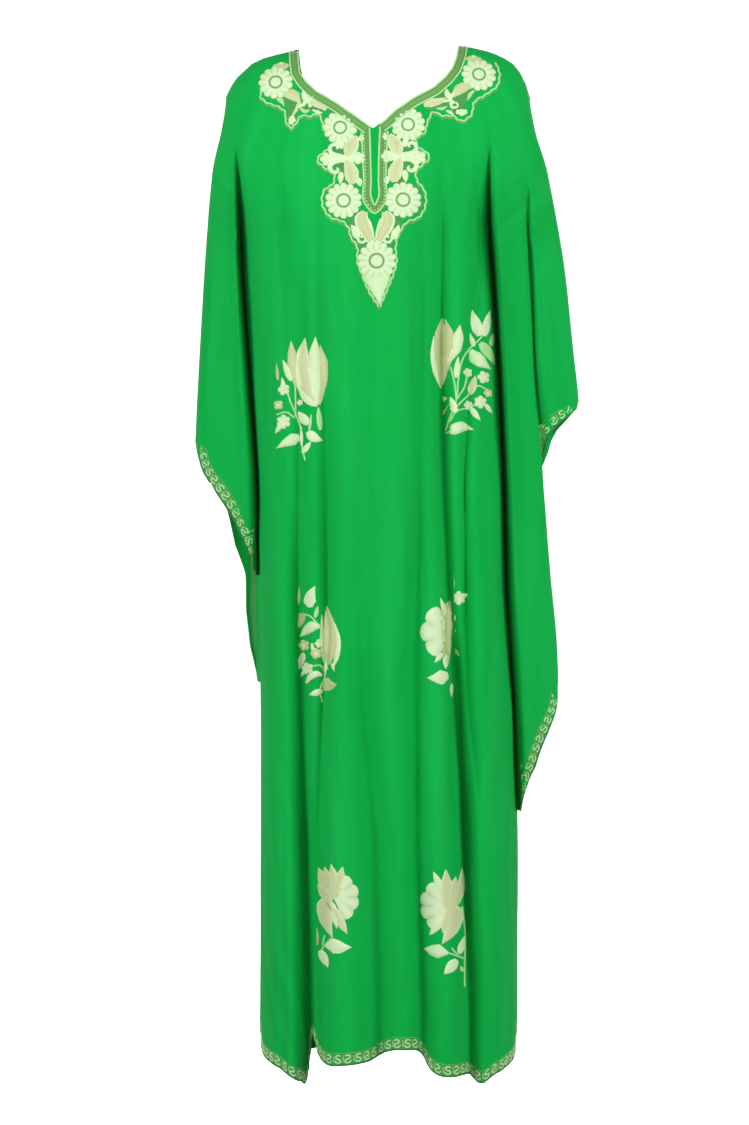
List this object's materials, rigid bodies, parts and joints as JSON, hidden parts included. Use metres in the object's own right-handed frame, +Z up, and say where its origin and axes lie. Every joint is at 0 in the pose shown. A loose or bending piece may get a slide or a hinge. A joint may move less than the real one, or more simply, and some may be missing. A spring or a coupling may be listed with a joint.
{
  "type": "moroccan kaftan",
  "caption": "Long loose kaftan with wide hanging wings, a bound V neckline and a rounded hem, filled out and hollow as when worn.",
  "frame": {"origin": "middle of the shoulder line, where the wearer's shoulders hold the garment up", "axes": "+Z up along the garment's length, the front faces -Y, +X to the right of someone facing the front"},
  "size_m": [0.5361, 0.2729, 1.4407],
  "materials": {
    "green_cotton": "soft matte woven cotton",
    "pale_embroidery": "matte chain-stitch thread"
  },
  "bodies": {
    "root": {"front_body": "green_cotton", "back_body": "green_cotton", "front_wing_left": "green_cotton", "front_wing_right": "green_cotton", "back_wing_left": "green_cotton", "back_wing_right": "green_cotton", "neck_band_front": "pale_embroidery", "neck_band_back": "pale_embroidery", "slit_band": "pale_embroidery"}
  },
  "joints": []
}
